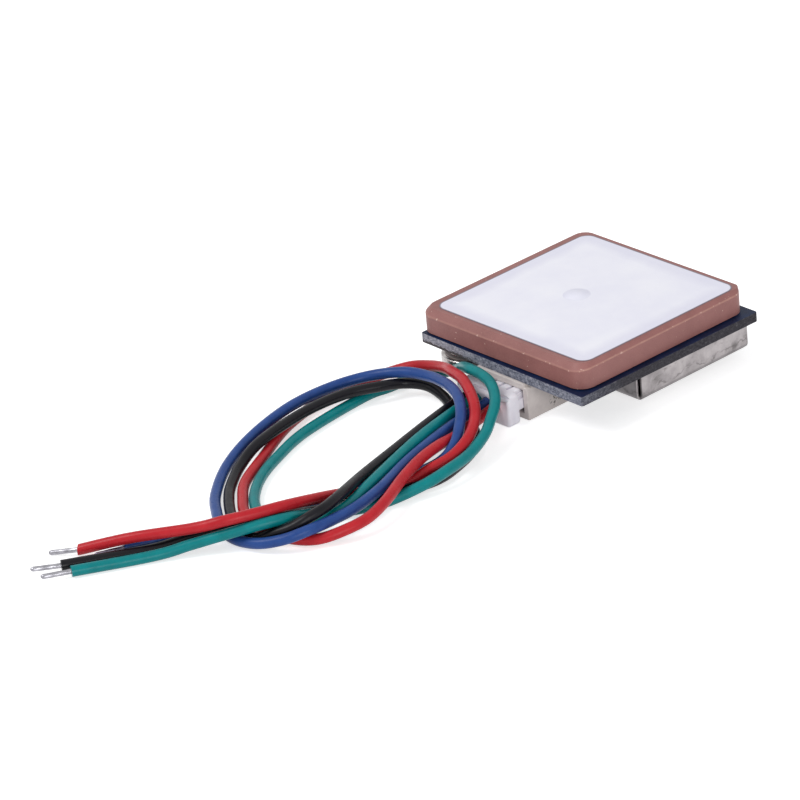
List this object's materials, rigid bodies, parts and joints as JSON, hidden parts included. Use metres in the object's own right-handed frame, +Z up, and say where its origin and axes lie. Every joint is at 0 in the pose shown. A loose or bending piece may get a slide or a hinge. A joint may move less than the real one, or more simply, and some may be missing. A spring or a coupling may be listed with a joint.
{
  "type": "gps module",
  "caption": "Satellite positioning receiver: a square ceramic patch antenna on a small circuit board, with a shield can, backup cell and a plugged-in lead that ends in bare wires.",
  "frame": {"origin": "bottom centre of the module's box without the lead, on the ground under the header", "axes": "+Z up through the antenna's silvered face, -Y out of the connector's mouth, the shield can on +X"},
  "size_m": [0.0217, 0.0596, 0.0062],
  "materials": {
    "board_laminate": "dark blue solder mask over glass-fibre laminate",
    "black_tape": "matte double-sided tape",
    "brown_ceramic": "fired, satin, lightly specked",
    "silver_print": "fired silver paste, matte",
    "solder": "bright solder",
    "tinned_metal": "tin plated",
    "tinplate": "tin-plated sheet, smudged and lightly scratched",
    "chip_black": "moulded epoxy",
    "crystal_metal": "plated lid",
    "passive_grey": "fired ferrite",
    "passive_tan": "fired ceramic",
    "cell_steel": "nickel-plated steel",
    "gasket_black": "moulded",
    "header_ivory": "moulded, slightly rough",
    "plug_white": "moulded, slightly translucent nylon",
    "wire_black": "soft insulation, satin",
    "wire_green": "soft insulation, satin",
    "wire_blue": "soft insulation, satin",
    "wire_red": "soft insulation, satin"
  },
  "bodies": {
    "root": {"circuit_board": "board_laminate", "adhesive_pad": "black_tape", "antenna_ceramic": "brown_ceramic", "antenna_electrode": "silver_print", "feed_pin": "tinned_metal", "feed_solder": "solder", "feed_joint": "solder", "shield_can": "tinplate", "receiver_chip": "chip_black", "low_noise_amplifier": "chip_black", "saw_filter": "crystal_metal", "reference_oscillator": "crystal_metal", "clock_crystal": "crystal_metal", "flash_memory": "chip_black", "rf_inductor": "passive_grey", "decoupling_capacitors": "passive_tan", "resistors": "chip_black", "bulk_capacitors": "passive_tan", "voltage_regulator": "chip_black", "battery_can": "cell_steel", "battery_gasket": "gasket_black", "battery_cap": "cell_steel", "battery_tab_lower": "cell_steel", "battery_tab_upper": "cell_steel", "header_housing": "header_ivory", "header_nail_left": "tinned_metal", "header_nail_right": "tinned_metal", "plug_housing": "plug_white", "header_contact_1": "tinned_metal", "plug_terminal_1": "tinned_metal", "header_contact_2": "tinned_metal", "plug_terminal_2": "tinned_metal", "header_contact_3": "tinned_metal", "plug_terminal_3": "tinned_metal", "header_contact_4": "tinned_metal", "plug_terminal_4": "tinned_metal", "wire_black": "wire_black", "tinned_end_black": "tinned_metal", "wire_green": "wire_green", "tinned_end_green": "tinned_metal", "wire_blue": "wire_blue", "tinned_end_blue": "tinned_metal", "wire_red": "wire_red", "tinned_end_red": "tinned_metal"}
  },
  "joints": []
}
